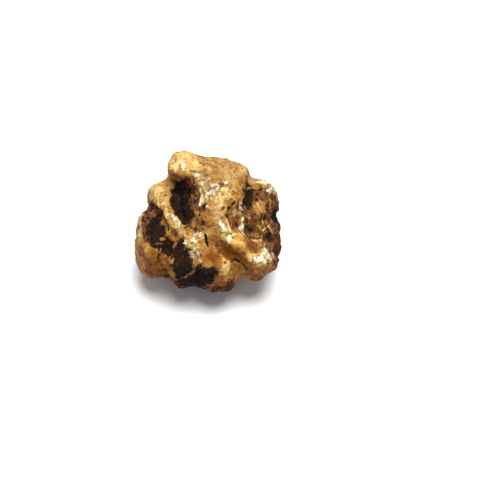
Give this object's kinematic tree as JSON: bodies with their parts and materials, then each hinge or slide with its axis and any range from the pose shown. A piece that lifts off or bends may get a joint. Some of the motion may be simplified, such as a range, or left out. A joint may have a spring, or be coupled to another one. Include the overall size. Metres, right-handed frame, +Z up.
{
  "type": "white truffle",
  "caption": "Whole knobbly white truffle with folds, soil-filled hollows and pale scuffs, resting on a small flat spot.",
  "frame": {"origin": "on the resting plane, under the middle of the truffle's box", "axes": "+Z up, +X to the right and -Y towards the viewer of the best side, which looks up at 50 degrees"},
  "size_m": [0.0648, 0.063, 0.0567],
  "materials": {
    "truffle_skin": "matt ochre and cream skin with dark brown soil in the folds and chalky white scuffs"
  },
  "bodies": {
    "root": {"truffle": "truffle_skin"}
  },
  "joints": []
}
